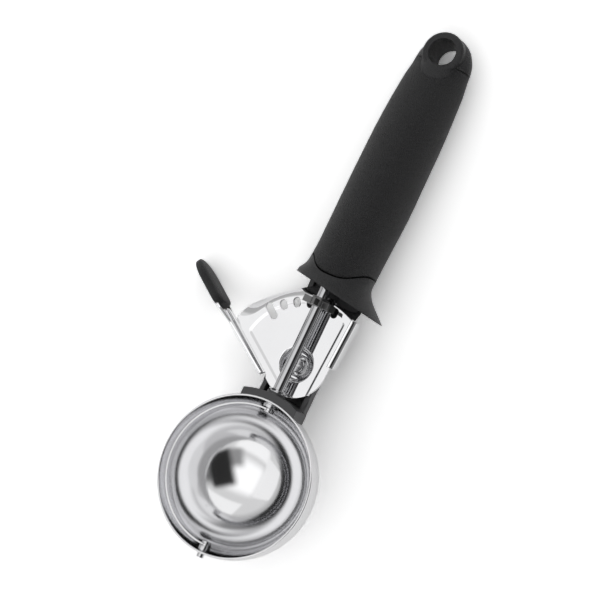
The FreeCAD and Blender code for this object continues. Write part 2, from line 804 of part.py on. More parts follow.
def seam_tool():
    """Everything behind the seam: an upright prism whose front is the wavy parting line."""
    half = seam_tongue_half_width
    wave = []
    for step in range(seam_steps + 1):
        y = -half + 2 * half * step / seam_steps
        fade = (1 - abs(y / half) ** seam_tongue_power) ** 2
        wave.append(Vector(seam_distance - seam_tongue * fade, y, -big))
    curve = Part.BSplineCurve()
    curve.interpolate(wave)
    low = Vector(seam_distance, -big, -big)
    high = Vector(seam_distance, big, -big)
    far_low = Vector(big, -big, -big)
    far_high = Vector(big, big, -big)
    edges = [Part.makeLine(low, wave[0]), curve.toShape(), Part.makeLine(wave[-1], high)]
    edges.append(Part.makeLine(high, far_high))
    edges.append(Part.makeLine(far_high, far_low))
    edges.append(Part.makeLine(far_low, low))
    return Part.Face(Part.Wire(edges)).extrude(z_axis * (2 * big))


def core_bar(grow, start, end):
    """Oval bar inside the handle, grown evenly by a wall."""
    width = core_half_width + grow
    height = core_half_height + grow
    wire = ellipse_wire(start, 0, core_centre_height, width, height)
    return Part.Face(wire).extrude(x_axis * (end - start))


def make_guard(form):
    """Hard flared guard with its hollow mouth and a sleeve under the grip."""
    front = form.cut(seam_tool())
    inner = [smooth_section(handle_start + x, y, z, w - guard_wall, h - guard_wall, s)
             for x, y, z, w, h, s in guard_sections]
    first_x, y, z, w, h, s = guard_sections[0]
    front_x = handle_start + first_x - overshoot
    inner.insert(0, smooth_section(front_x, y, z, w - guard_wall, h - guard_wall, s))
    cavity = Part.makeLoft(inner, True, False)
    cavity = cavity.common(block(-big, guard_cavity_end, -big, big, -big, big))
    guard = front.cut(cavity)
    guard = guard.fuse(core_bar(guard_sleeve_wall, guard_cavity_end, guard_sleeve_end))
    guard = guard.cut(core_bar(0, core_start, ring_x))
    guard = guard.cut(rod_x(upper_bush_radius, 0, upper_bush_end))
    guard = guard.cut(channel_block(frame_low_rib_top))
    guard = guard.cut(block(0, core_start, -tang_half_width, tang_half_width, frame_bottom, tang_top))
    return guard.removeSplitter()


def ring_post(radius, proud):
    """Upright post at the hanging hole, standing proud of the handle."""
    return post_z(Vector(ring_x, 0, 0), radius, ring_bottom - proud, ring_top + proud)


def make_core(form):
    """Hard core of the handle with the loop and raised ring at its end."""
    end = form.common(block(grip_end, big, -big, big, -big, big))
    ring = ring_post(ring_radius, ring_proud)
    ring = ring.makeFillet(ring_round, [e for e in ring.Edges if e.BoundBox.ZLength < tiny])
    core = end.fuse([ring, core_bar(0, core_start, ring_x)])
    core = core.cut(ring_post(hanging_hole_radius, overshoot + ring_proud))
    core = core.cut(tang_block(0, tang_top - tang_thickness))
    for place in tang_pin_places:
        core = core.cut(post_z(Vector(place, 0, 0), tang_pin_radius, -big, big))
    return core.removeSplitter()


def make_grip(form):
    """Soft sleeve over the core, from the seam to the loop."""
    grip = form.common(seam_tool())
    grip = grip.cut(block(grip_end - seam_gap, big, -big, big, -big, big))
    grip = grip.cut(core_bar(guard_sleeve_wall, guard_cavity_end, guard_sleeve_end))
    grip = grip.cut(core_bar(0, core_start, ring_x))
    return grip.cut(ring_post(ring_radius + seam_gap, big))


def make_tang_pins():
    """Two pins through core and tang."""
    reach = core_half_height - tang_pin_cover
    low = core_centre_height - reach
    high = core_centre_height + reach
    pins = [post_z(Vector(place, 0, 0), tang_pin_radius, low, high) for place in tang_pin_places]
    return Part.makeCompound(pins)


def make_pieces():
    """All pieces of the scoop in the tool frame."""
    form = handle_form()
    return {
        "bowl": make_bowl(),
        "bowl_rivets": make_bowl_rivets(),
        "far_pivot_rivet": make_far_rivet(),
        "lower_bush": make_lower_bush(),
        "frame": make_frame(),
        "pivot_post": make_pivot_post(),
        "pivot_washer": make_pivot_washer(),
        "pivot_screw": make_pivot_screw(),
        "return_spring": make_return_spring(),
        "guard": make_guard(form),
        "upper_bush": make_upper_bush(),
        "handle_core": make_core(form),
        "tang_pins": make_tang_pins(),
        "grip": make_grip(form),
        "lever_plate": make_lever_plate(),
        "thumb_pad": make_thumb_pad(),
        "spindle": make_spindle(),
        "pinion": make_pinion(),
        "retaining_clip": make_retaining_clip(),
        "spindle_cap": make_spindle_cap(),
        "scraper_blade": make_scraper_blade(),
    }


def table_pose(pieces):
    """Turn that lets the bowl, the thumb pad and the handle all touch a table."""
    pad_points = pieces["thumb_pad"].tessellate(mesh_tolerance)[0]
    end_points = [p for name in ("grip", "handle_core") for p in pieces[name].tessellate(mesh_tolerance)[0]]
    roll = 0.0
    pitch = 0.0
    for step in range(levelling_passes):
        turn = FreeCAD.Rotation(y_axis, pitch).multiply(FreeCAD.Rotation(x_axis, -roll))
        bowl_low = turn.multVec(bowl_centre).z - bowl_radius
        pad_low = min((turn.multVec(p) for p in pad_points), key=lambda p: p.z)
        end_low = min((turn.multVec(p) for p in end_points), key=lambda p: p.z)
        roll = roll + math.degrees(math.atan2(pad_low.z - bowl_low, pad_low.y))
        pitch = pitch + math.degrees(math.atan2(end_low.z - bowl_low, end_low.x))
    return turn


def box_of(shapes):
    """Tight box round a list of solids."""
    boxes = [shape.optimalBoundingBox(False, False) for shape in shapes]
    total = boxes[0]
    for box in boxes[1:]:
        total.add(box)
    return total


def place_on_table(pieces):
    """Pieces in the resting pose, with the origin under the middle of their box."""
    turn = table_pose(pieces)
    for shape in pieces.values():
        shape.Placement = FreeCAD.Placement(Vector(0, 0, 0), turn).multiply(shape.Placement)
    box = box_of(list(pieces.values()))
    shift = Vector(-box.Center.x, -box.Center.y, -box.ZMin)
    for shape in pieces.values():
        shape.translate(shift)
    return turn, shift


pieces = make_pieces()
turn, shift = place_on_table(pieces)
os.makedirs("parts", exist_ok=True)
for name, shape in pieces.items():
    shape.exportStep(os.path.join("parts", name + ".step"))
    print(name, "solids", len(shape.Solids), "valid", shape.isValid(), "volume", round(shape.Volume, 1))
print("turn", [round(v, 6) for v in turn.Q], "shift", [round(v, 4) for v in shift])
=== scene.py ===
import json
import math

import bmesh
import bpy
import numpy as np
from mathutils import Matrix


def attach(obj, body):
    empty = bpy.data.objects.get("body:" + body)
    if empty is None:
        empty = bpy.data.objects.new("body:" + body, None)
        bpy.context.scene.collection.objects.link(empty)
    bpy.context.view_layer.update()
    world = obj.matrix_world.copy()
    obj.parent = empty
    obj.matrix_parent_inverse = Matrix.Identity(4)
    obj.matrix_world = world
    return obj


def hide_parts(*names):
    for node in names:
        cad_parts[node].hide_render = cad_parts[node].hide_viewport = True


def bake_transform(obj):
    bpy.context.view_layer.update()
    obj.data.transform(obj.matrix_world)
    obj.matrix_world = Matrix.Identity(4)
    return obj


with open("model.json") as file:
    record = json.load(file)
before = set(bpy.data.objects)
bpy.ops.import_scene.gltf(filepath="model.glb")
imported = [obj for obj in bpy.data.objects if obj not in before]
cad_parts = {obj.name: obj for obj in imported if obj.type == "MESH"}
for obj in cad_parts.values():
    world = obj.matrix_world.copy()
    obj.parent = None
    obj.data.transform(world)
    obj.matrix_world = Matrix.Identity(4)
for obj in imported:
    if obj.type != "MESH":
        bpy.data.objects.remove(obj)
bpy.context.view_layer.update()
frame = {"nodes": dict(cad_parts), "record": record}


# Frame casting
# The dark satin casting holds the bowl in its saddle, runs as a channel under the lever and ends as a tang
# in the handle. It is die cast and coated, with a fine skin grain, eased edges and a little wear on them.
nodes = frame["nodes"]
millimetre = 0.001


def wire(tree, kind, *feeds, output=0, **sets):
    """Adds a node, sets it, feeds its sockets in order, and gives one of its outputs."""
    node = tree.nodes.new(kind)
    for key, value in sets.items():
        setattr(node, key, value)
    for socket, feed in zip(node.inputs, feeds):
        if feed is not None:
            set_socket(tree, socket, feed)
    return node.outputs[output]


def set_socket(tree, socket, feed):
    """Links an output to a socket, or sets the socket to a number or a row of numbers."""
    if isinstance(feed, bpy.types.NodeSocket):
        tree.links.new(feed, socket)
    else:
        socket.default_value = feed


def named(tree, kind, settings, feeds, output):
    """Adds a node whose sockets are fed by their names, and gives one of its outputs by its name."""
    node = tree.nodes.new(kind)
    for key, value in settings.items():
        setattr(node, key, value)
    for label, feed in feeds.items():
        set_socket(tree, node.inputs[label], feed)
    return node.outputs[output]


def mix_colours(tree, amount, first, second):
    """Mixes two colours by an amount from 0 to 1."""
    feeds = {"Factor": amount, "A": first, "B": second}
    return named(tree, "ShaderNodeMix", {"data_type": "RGBA"}, feeds, "Result")


def new_group(name, inputs, outputs):
    """Empty shader node group with named number inputs and (name, kind) outputs."""
    tree = bpy.data.node_groups.new(name, "ShaderNodeTree")
    for label in inputs:
        tree.interface.new_socket(name=label, in_out="INPUT", socket_type="NodeSocketFloat")
    for label, kind in outputs:
        tree.interface.new_socket(name=label, in_out="OUTPUT", socket_type=kind)
    return tree, tree.nodes.new("NodeGroupInput"), tree.nodes.new("NodeGroupOutput")


def use_group(tree, group, **values):
    """Places a node group in a tree with its own values, and gives the node."""
    node = tree.nodes.new("ShaderNodeGroup")
    node.node_tree = group
    for label, value in values.items():
        set_socket(tree, node.inputs[label], value)
    return node


object_place = 3


def skin_grain_group(detail=3.0, softness=0.55, patch_detail=4.0, patch_softness=0.6):
    """Moulded or cast skin: fine grain height, and broad patches that shift colour and gloss a little."""
    tree, entry, leave = new_group("skin_grain", ["grain_per_metre", "patch_per_metre"],
                                   [("height", "NodeSocketFloat"), ("patch", "NodeSocketFloat")])
    fine_scale = entry.outputs["grain_per_metre"]
    patch_scale = entry.outputs["patch_per_metre"]
    spot = wire(tree, "ShaderNodeTexCoord", output=object_place)
    fine = wire(tree, "ShaderNodeTexNoise", spot, None, fine_scale, detail, softness)
    cells = wire(tree, "ShaderNodeTexVoronoi", spot, None, fine_scale)
    patch = wire(tree, "ShaderNodeTexNoise", spot, None, patch_scale, patch_detail, patch_softness)
    tree.links.new(wire(tree, "ShaderNodeMath", fine, cells, operation="ADD"), leave.inputs["height"])
    tree.links.new(patch, leave.inputs["patch"])
    return tree


def soft_edge_group(samples=6, flat_from=0.995, edge_from=0.85):
    """Edges eased by a small radius: the eased normal, and a mask that is 1 on edges and 0 on flats."""
    tree, entry, leave = new_group("soft_edge", ["radius"],
                                   [("normal", "NodeSocketVector"), ("edge", "NodeSocketFloat")])
    eased = wire(tree, "ShaderNodeBevel", entry.outputs["radius"], samples=samples)
    flat = wire(tree, "ShaderNodeNewGeometry", output=1)
    alike = wire(tree, "ShaderNodeVectorMath", eased, flat, output=1, operation="DOT_PRODUCT")
    edge = wire(tree, "ShaderNodeMapRange", alike, flat_from, edge_from, 0.0, 1.0)
    tree.links.new(eased, leave.inputs["normal"])
    tree.links.new(edge, leave.inputs["edge"])
    return tree


skin_grain = skin_grain_group()
soft_edge = soft_edge_group()
patch_low = 0.3
patch_high = 0.7


def material(name, color, metallic, roughness, specular=0.5):
    """New material with a Principled BSDF whose constants are set on its own sockets."""
    made = bpy.data.materials.new(name)
    made.use_nodes = True
    shader = made.node_tree.nodes["Principled BSDF"]
    shader.inputs["Base Color"].default_value = (*color, 1.0)
    shader.inputs["Metallic"].default_value = metallic
    shader.inputs["Roughness"].default_value = roughness
    shader.inputs["Specular IOR Level"].default_value = specular
    return made


def finish(name, dark, light, metallic, gloss, grain, depth, patch=60.0, edge=0.25, worn=None, specular=0.5):
    """Patches between two colours and two roughnesses, grain of a depth in metres, and eased edges."""
    made = material(name, light, metallic, gloss[0], specular)
    tree = made.node_tree
    shader = tree.nodes["Principled BSDF"]
    skin_marks = use_group(tree, skin_grain, grain_per_metre=grain, patch_per_metre=patch)
    ease = use_group(tree, soft_edge, radius=edge * millimetre)
    patches = skin_marks.outputs["patch"]
    colour = mix_colours(tree, patches, (*dark, 1.0), (*light, 1.0))
    if worn:
        rubbed = wire(tree, "ShaderNodeMath", ease.outputs["edge"], patches, operation="MULTIPLY")
        colour = mix_colours(tree, rubbed, colour, (*worn, 1.0))
    tree.links.new(colour, shader.inputs["Base Color"])
    roughness = wire(tree, "ShaderNodeMapRange", patches, patch_low, patch_high, *gloss)
    tree.links.new(roughness, shader.inputs["Roughness"])
    feeds = {"Strength": 1.0, "Distance": depth, "Height": skin_marks.outputs["height"],
             "Normal": ease.outputs["normal"]}
    tree.links.new(named(tree, "ShaderNodeBump", {}, feeds, "Normal"), shader.inputs["Normal"])
    return made


def dress(made, *names):
    """Gives a finish to pieces that keep the shape they came with."""
    for name in names:
        for slot in nodes[name].material_slots:
            slot.material = made


frame_coat = finish("frame_coat", dark=(0.040, 0.040, 0.042), light=(0.062, 0.062, 0.064), metallic=0.2,
                    gloss=(0.36, 0.46), grain=3200.0, depth=0.00003, edge=0.35, worn=(0.13, 0.13, 0.13))
dress(frame_coat, "frame")


# Bowl
# One sheet of stainless steel, spun to a ball shell and polished, with faint turning rings. Its cut rim
# stands a little above the ball's middle and is rounded over, so that it draws a thin bright line.
bowl_radius = 29.0
bowl_wall = 0.8
bowl_centre_rise = 1.6
bowl_rim_rise = 4.0

# The spindle lies on x, z points out of the bowl's mouth and y to the thumb lever, and the origin is the
# middle of the bowl on the spindle. Sizes are millimetres in this tool frame, and place() lays them on the
# resting scoop.
joints = {joint["name"]: joint for joint in frame["record"]["behaviour"]["joints"]}
x_way = -np.array(joints["spindle_turn"]["axis"], float)
z_way = -np.array(joints["lever_swing"]["axis"], float)
tool_axes = np.stack([x_way, np.cross(z_way, x_way), z_way])
tool_origin = np.array(joints["spindle_turn"]["pos_m"], float)


def place(points):
    """Scene points in metres for tool frame points in millimetres: origin + x along, y across, z up."""
    return tool_origin + np.asarray(points, float) * millimetre @ tool_axes


def skin(name, grid, wrap=True):
    """Mesh object over a grid of tool frame points: rows run along the piece and columns go round it."""
    rows, columns = grid.shape[:2]
    number = np.arange(rows * columns).reshape(rows, columns)
    right = np.roll(number, -1, axis=1) if wrap else number[:, 1:]
    here = number if wrap else number[:, :-1]
    quads = np.stack([here[:-1], right[:-1], right[1:], here[1:]], axis=-1).reshape(-1, 4)
    mesh = bpy.data.meshes.new(name)
    mesh.from_pydata(place(grid.reshape(-1, 3)).tolist(), [], quads.tolist())
    piece = bpy.data.objects.new(name, mesh)
    bpy.context.scene.collection.objects.link(piece)
    close(mesh)
    return piece


def close(mesh, weld=1e-6):
    """Merges doubled points, turns faces outwards and shades them smooth."""
    work = bmesh.new()
    work.from_mesh(mesh)
    bmesh.ops.remove_doubles(work, verts=work.verts, dist=weld)
    bmesh.ops.dissolve_degenerate(work, edges=work.edges, dist=weld)
    bmesh.ops.recalc_face_normals(work, faces=work.faces)
    work.to_mesh(mesh)
    work.free()
    mesh.polygons.foreach_set("use_smooth", [True] * len(mesh.polygons))


def bowl_profile(steps=90, rim_steps=10):
    """Outer arc from the bottom to the rim, a half round over the cut edge, and the inner arc back down."""
    top = math.asin((bowl_rim_rise - bowl_wall / 2 - bowl_centre_rise) / bowl_radius)
    climb = np.linspace(-np.pi / 2, top, steps)
    outer = bowl_radius * np.stack([np.sin(climb), np.cos(climb)], 1)
    inner = (bowl_radius - bowl_wall) * np.stack([np.sin(climb[::-1]), np.cos(climb[::-1])], 1)
    over = np.linspace(0, np.pi, rim_steps)[1:-1, None]
    middle = (outer[-1] + inner[0]) / 2
    out = outer[-1] - middle
    up = np.array([math.cos(top), -math.sin(top)]) * np.hypot(*out)
    return np.vstack([outer, middle + np.cos(over) * out + np.sin(over) * up, inner])


def bowl_grid(steps=256):
    """Bowl profile (height, radius) carried round the upright axis through the ball's middle."""
    height, radius = bowl_profile().T
    angle = np.linspace(0, 2 * np.pi, steps, endpoint=False)
    x = radius[:, None] * np.cos(angle)
    y = radius[:, None] * np.sin(angle)
    z = np.broadcast_to(bowl_centre_rise + height[:, None], x.shape)
    return np.stack([x, y, z], -1)


def tool_place_group():
    """Object coordinates turned into tool frame millimetres x, y and z."""
    tree, entry, leave = new_group("tool_place", [], [(label, "NodeSocketFloat") for label in "xyz"])
    spot = wire(tree, "ShaderNodeTexCoord", output=object_place)
    moved = wire(tree, "ShaderNodeVectorMath", spot, tuple(tool_origin), operation="SUBTRACT")
    for label, axis in zip("xyz", tool_axes / millimetre):
        part = wire(tree, "ShaderNodeVectorMath", moved, tuple(axis), output=1, operation="DOT_PRODUCT")
        tree.links.new(part, leave.inputs[label])
    return tree


def turning_group(detail=5.0):
    """Fine rings left by a tool or a polishing wheel, as a height that changes along one distance only."""
    tree, entry, leave = new_group("turning", ["along", "rings_per_mm"], [("height", "NodeSocketFloat")])
    feeds = {"W": entry.outputs["along"], "Scale": entry.outputs["rings_per_mm"], "Detail": detail}
    ring = named(tree, "ShaderNodeTexNoise", {"noise_dimensions": "1D"}, feeds, 0)
    tree.links.new(ring, leave.inputs["height"])
    return tree


tool_place = tool_place_group()
turning = turning_group()


def turned_steel(name, dark, light, gloss, axis, rings, depth, grain=500.0, smudge=45.0, edge=0.2):
    """Polished steel with smudges and with turning rings square to one tool frame axis."""
    made = finish(name, dark, light, 1.0, gloss, grain, depth, patch=smudge, edge=edge)
    tree = made.node_tree
    spot = use_group(tree, tool_place)
    ring = use_group(tree, turning, along=spot.outputs[axis], rings_per_mm=rings)
    bump = next(node for node in tree.nodes if node.bl_idname == "ShaderNodeBump")
    tree.links.new(ring.outputs["height"], bump.inputs["Height"])
    return made


bowl = skin("bowl_shell", bowl_grid())
bowl_steel = turned_steel("bowl_steel", dark=(0.74, 0.74, 0.75), light=(0.81, 0.81, 0.82),
                          gloss=(0.07, 0.10), axis="z", rings=3.0, depth=0.000003)
bowl.data.materials.append(bowl_steel)
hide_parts("bowl")
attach(bowl, "body")


# Fasteners and bushes
# Turned steel rivets, the screw, washer and post, the bushes, the clip and the cap. They hold the bowl in
# the saddle and the tang in the handle, and carry the blade, the lever and the spindle.
fastener_steel = turned_steel("fastener_steel", dark=(0.50, 0.50, 0.51), light=(0.62, 0.62, 0.63),
                              gloss=(0.14, 0.24), axis="z", rings=6.0, depth=0.000004)
dress(fastener_steel, "bowl_rivets", "far_pivot_rivet", "lower_bush", "upper_bush", "pivot_post")
dress(fastener_steel, "pivot_washer", "pivot_screw", "spindle_cap", "retaining_clip", "tang_pins")


# Spindle and pinion
# The spindle is a drawn rod, ground bright, with its steel colour set darker than the other steels as
# painted shade for the dark reflections along it. The pinion is pressed on it and is dark sintered steel
# with a little polish on the edges of its teeth.
# Painted shade: the rod's steel is darker than the other steels, standing in for the dark reflections along
# it.
rod_steel_painted_shade = turned_steel("rod_steel_painted_shade", dark=(0.42, 0.42, 0.43), light=(0.52, 0.52, 0.53),
                         gloss=(0.07, 0.12), axis="x", rings=5.0, depth=0.000002)
dress(rod_steel_painted_shade, "spindle")
pinion_steel = finish("pinion_steel", dark=(0.10, 0.10, 0.10), light=(0.18, 0.18, 0.18), metallic=1.0,
                      gloss=(0.28, 0.42), grain=2500.0, depth=0.00001, edge=0.2, worn=(0.6, 0.6, 0.6))
dress(pinion_steel, "pinion")


# Scraper blade
# A half hoop of spring strip with fine polishing lines and a round eye at each end. It lies against the
# inside of the bowl and is carried by the spindle's neck and the far rivet.
blade_steel = turned_steel("blade_steel", dark=(0.62, 0.62, 0.63), light=(0.76, 0.76, 0.77),
                           gloss=(0.10, 0.16), axis="y", rings=5.0, depth=0.000002)
dress(blade_steel, "scraper_blade")


# Lever plate
# A sector pressed from one sheet and chrome plated: a cup round the pivot, a slightly sunk field, a drooping
# lip, a row of rack holes, a stop flange bent down on the right and a flange bent up on the left that ends
# as the tab.
plate_top = -4.4
plate_thickness = 1.0
plate_edge_round = 0.16
plate_back_radius = 12.0
post_hole_radius = 2.06
lip_start_radius = 24.4
lip_end_radius = 29.3
lip_drop = 2.8
lip_power = 1.64
right_edge_angle = math.radians(3.0)
left_edge_angle = math.radians(56.0)
facet_angle = math.radians(60.0)
facet_reach = 32.5
lip_fade_lead = 0.1
lip_fade = 0.4
field_depth = 0.35
field_radius = 21.6
field_slope = 1.1
field_left = (2.6, 1.4)
field_right = (2.4, 1.2)
cup_floor_radius = 4.7
cup_slope = 1.9
cup_depth = 3.6
left_bend = 1.0
bend_from = 1.5
bend_over = 2.5
least_facing = 0.02
sheet_crease = math.radians(50.0)
shade_crease = math.radians(40.0)


def local(point):
    """Tool frame millimetres for a scene point in metres, the other way round from place()."""
    return (np.asarray(point, float) - tool_origin) @ tool_axes.T / millimetre


pivot_x = local(joints["lever_swing"]["pos_m"])[0]
pivot = np.array([pivot_x, 0.0])


def smooth_step(value):
    """Rises smoothly from 0 to 1 while the value goes from 0 to 1."""
    value = np.clip(value, 0.0, 1.0)
    return value * value * (3 - 2 * value)


def left_edge(distance, offset=0.0):
    """Plan points along the plate's left edge, moved outwards by an offset."""
    way = np.array([math.cos(left_edge_angle), math.sin(left_edge_angle)])
    out = np.array([-way[1], way[0]])
    along = np.asarray(distance, float)[..., None] * way
    return pivot + out * plate_back_radius + along + np.asarray(offset, float)[..., None] * out


def right_edge(x, offset=0.0):
    """Plan point on the plate's right edge, moved outwards by an offset."""
    across = (plate_back_radius + offset) / math.cos(right_edge_angle)
    return np.array([x, -across - (x - pivot_x) * math.tan(right_edge_angle)])


def plate_reach(angle, corner=60.0, steepest=1.4):
    """Radius of the outline in a direction from the pivot: the soft minimum of two straight sides, the lip's
    circle and the facet's line, and a plain circle at the back. The left side gives way to its bend."""
    left_turn = np.pi / 2 + left_edge_angle - angle
    right_turn = np.pi / 2 + right_edge_angle + angle
    distance = plate_back_radius * np.tan(np.clip(left_turn, 0, steepest))
    trim = left_bend * smooth_step((distance - bend_from) / bend_over)
    left = (plate_back_radius - trim) / np.maximum(np.cos(left_turn), least_facing)
    right = plate_back_radius / np.maximum(np.cos(right_turn), least_facing)
    start = lip_end_radius * np.array([math.cos(facet_angle), math.sin(facet_angle)])
    run = left_edge(facet_reach) - pivot - start
    normal = np.array([run[1], -run[0]]) / np.hypot(*run)
    facing = normal[0] * np.cos(angle) + normal[1] * np.sin(angle)
    facet = normal.dot(start) / np.maximum(facing, least_facing)
    sides = np.stack([left, right, np.full_like(angle, lip_end_radius), facet])
    front = (sides ** -corner).sum(0) ** (-1 / corner)
    back = (left_turn < 0) | (right_turn < 0)
    return np.where(back, plate_back_radius, front)


def plate_height(radius, angle):
    """Top face of the pressing: the flat, less the sunk field, the cup's smooth step and the lip's droop."""
    cup = 1 - smooth_step((radius - cup_floor_radius) / cup_slope)
    inside_lip = 1 - smooth_step((radius - field_radius) / field_slope)
    left_gap = plate_back_radius - radius * np.cos(np.pi / 2 + left_edge_angle - angle)
    inside_left = smooth_step((left_gap - field_left[0]) / field_left[1])
    right_gap = plate_back_radius - radius * np.cos(angle + np.pi / 2 + right_edge_angle)
    inside_right = smooth_step((right_gap - field_right[0]) / field_right[1])
    sunk = field_depth * inside_lip * inside_left * inside_right
    over_lip = np.clip((radius - lip_start_radius) / (lip_end_radius - lip_start_radius), 0, None)
    fade = 1 - smooth_step((angle - facet_angle + lip_fade_lead) / lip_fade)
    return plate_top - sunk - (cup_depth - sunk) * cup - lip_drop * over_lip ** lip_power * fade


def plate_grid(rings=60, spokes=360, first_angle=-np.pi / 2 - 0.6):
    """Polar grid from the post's hole to the outline."""
    angle = np.linspace(first_angle, first_angle + 2 * np.pi, spokes, endpoint=False)
    share = np.linspace(0, 1, rings)[:, None]
    radius = post_hole_radius + share * (plate_reach(angle) - post_hole_radius)
    angle = np.broadcast_to(angle, radius.shape)
    x = pivot_x + radius * np.cos(angle)
    return np.stack([x, radius * np.sin(angle), plate_height(radius, angle)], -1)


def upright_bar(name, plan, low=-12.0, high=0.0):
    """Closed upright bar over a plan outline: its side, with both ends drawn in to the outline's middle."""
    middle = plan.mean(0)
    rings = [(0.0, low), (1.0, low), (1.0, high), (0.0, high)]
    rows = [np.column_stack([middle + share * (plan - middle), np.full(len(plan), z)]) for share, z in rings]
    return skin(name, np.stack(rows))


def slot_cutter(name, angle, inner, outer, width=2.7, steps=16):
    """Upright bar with round ends along one radius of the plate, to cut a slot with."""
    half = width / 2
    around = np.linspace(-np.pi / 2, np.pi / 2, steps)
    far_end = np.stack([outer - half + half * np.cos(around), half * np.sin(around)], 1)
    near_end = np.stack([inner + half - half * np.cos(around), -half * np.sin(around)], 1)
    turn = np.array([[math.cos(angle), math.sin(angle)], [-math.sin(angle), math.cos(angle)]])
    return upright_bar(name, pivot + np.vstack([far_end, near_end]) @ turn)


def baked(piece, cutters=()):
    """Applies a piece's modifiers to its mesh and removes the cutters that they used."""
    graph = bpy.context.evaluated_depsgraph_get()
    mesh = bpy.data.meshes.new_from_object(piece.evaluated_get(graph))
    piece.modifiers.clear()
    piece.data = mesh
    for cutter in cutters:
        bpy.data.objects.remove(cutter)


def cut_with(piece, cutter):
    """Takes a closed cutter's room out of a piece."""
    cut = piece.modifiers.new("cut", "BOOLEAN")
    cut.operation = "DIFFERENCE"
    cut.solver = "EXACT"
    cut.object = cutter


def thicken(piece):
    """Gives a sheet its wall, away from its outer face."""
    wall = piece.modifiers.new("wall", "SOLIDIFY")
    wall.thickness = plate_thickness * millimetre
    wall.offset = -1.0
    wall.use_even_offset = True


def ease_edges(piece):
    """Rounds the sharp edges of a piece."""
    ease = piece.modifiers.new("ease", "BEVEL")
    ease.width = plate_edge_round * millimetre
    ease.segments = 2
    ease.limit_method = "ANGLE"
    ease.angle_limit = sheet_crease


def face_towards(piece, direction):
    """Turns an open sheet so that most of its area faces a scene direction."""
    faces = piece.data.polygons
    normals = np.empty(len(faces) * 3)
    areas = np.empty(len(faces))
    faces.foreach_get("normal", normals)
    faces.foreach_get("area", areas)
    if areas @ (normals.reshape(-1, 3) @ direction) < 0:
        piece.data.flip_normals()


rack_radius = 22.5
rack_hole_reach = 1.85
rack_pitch = math.radians(12.9)
rack_steps = (-1, 0, 1, 2, 3)
slot_step = 4
slot_inner_radius = 18.8
slot_outer_radius = 25.6
plate = skin("lever_sector", plate_grid())
face_towards(plate, z_way)
thicken(plate)
hole_radii = (rack_radius - rack_hole_reach, rack_radius + rack_hole_reach)
cutters = [slot_cutter("rack_cutter", step * rack_pitch, *hole_radii) for step in rack_steps]
cutters.append(slot_cutter("slot_cutter", slot_step * rack_pitch, slot_inner_radius, slot_outer_radius))

stop_start = pivot_x + 3.7
stop_end = stop_start + 18.5
stop_face = 0.7
stop_bend = 2.0
stop_depth = 5.8
notch_reach = 3.0
stop_line = (right_edge(stop_start, stop_face - stop_bend), right_edge(stop_end, stop_face - stop_bend))
notch = [*stop_line, right_edge(stop_end, notch_reach), right_edge(stop_start, notch_reach)]
cutters.append(upright_bar("stop_cutter", np.array(notch)))
for cutter in cutters:
    cut_with(plate, cutter)
ease_edges(plate)
baked(plate, cutters)


def stop_grid(steps=24, bend_steps=12):
    """Quarter bend and straight drop: a section (outward, height) carried along the right edge."""
    start, end = stop_line
    bend = np.linspace(0, np.pi / 2, bend_steps)
    outward = np.append(stop_bend * np.sin(bend), stop_bend)
    height = np.append(plate_top - stop_bend * (1 - np.cos(bend)), plate_top - stop_depth)
    run = end - start
    out = np.array([run[1], -run[0]]) / np.hypot(*run)
    share = np.linspace(0, 1, steps)[:, None, None]
    plan = start + share * run + outward[:, None] * out
    height = np.broadcast_to(height[:, None], plan.shape[:2] + (1,))
    return np.concatenate([plan, height], -1)


stop_flange = skin("stop_flange", stop_grid(), wrap=False)
face_towards(stop_flange, z_way)

flange_start = 4.0
flange_root = 25.0
flange_corner = (6.5, 2.2)
flange_first_rise = 1.3
flange_root_rise = 5.0
tab_start = 31.0
tab_end = 48.7
tab_overlap = 32.2
tab_corner = 2.4
tab_low = 0.8
tab_rise = 8.6


def flange_grid(steps=64, bend_steps=9):
    """Left flange: a quarter bend up from the plate, then an upright wall that grows towards the tab."""
    along = np.linspace(flange_start, facet_reach, steps)
    places = [flange_start, flange_corner[0], flange_root, tab_start]
    top = np.interp(along, places, [flange_first_rise, flange_corner[1], flange_root_rise, tab_rise])
    bend = np.linspace(0, np.pi / 2, bend_steps)
    rise = np.linspace(0, 1, bend_steps)[1:]
    out = np.concatenate([left_bend * (np.sin(bend) - 1), np.zeros(len(rise))])
    bent = np.broadcast_to(left_bend * (1 - np.cos(bend)), (steps, bend_steps))
    height = np.concatenate([bent, left_bend + rise * (top[:, None] - left_bend)], 1)
    return np.concatenate([left_edge(along[:, None], out), plate_top + height[..., None]], -1)


def tab_grid(steps=24, rows=10):
    """Flat tab beyond the flange, with its two far corners rounded by quarter circles."""
    along = np.linspace(tab_overlap, tab_end, steps)
    over = np.clip((along - (tab_end - tab_corner)) / tab_corner, 0, 1)
    pull = tab_corner * (1 - np.sqrt(1 - over ** 2))
    low = tab_low + pull
    height = low + np.linspace(0, 1, rows)[:, None] * (tab_rise - pull - low)
    plan = np.broadcast_to(left_edge(along), (rows, steps, 2))
    return np.concatenate([plan, plate_top + height[..., None]], -1)


left_flange = skin("left_flange", flange_grid(), wrap=False)
tab = skin("thumb_tab", tab_grid(), wrap=False)
inward_way = np.append(left_edge(0.0, -1.0) - left_edge(0.0), 0.0) @ tool_axes
for sheet in (left_flange, tab):
    face_towards(sheet, inward_way)
for sheet in (stop_flange, left_flange, tab):
    thicken(sheet)
    ease_edges(sheet)
    baked(sheet)


def join(first, *others):
    """Puts the meshes of other pieces into the first one."""
    work = bmesh.new()
    for piece in (first, *others):
        work.from_mesh(piece.data)
    work.to_mesh(first.data)
    work.free()
    for piece in others:
        bpy.data.objects.remove(piece)
    first.data.polygons.foreach_set("use_smooth", [True] * len(first.data.polygons))
    first.data.set_sharp_from_angle(angle=shade_crease)


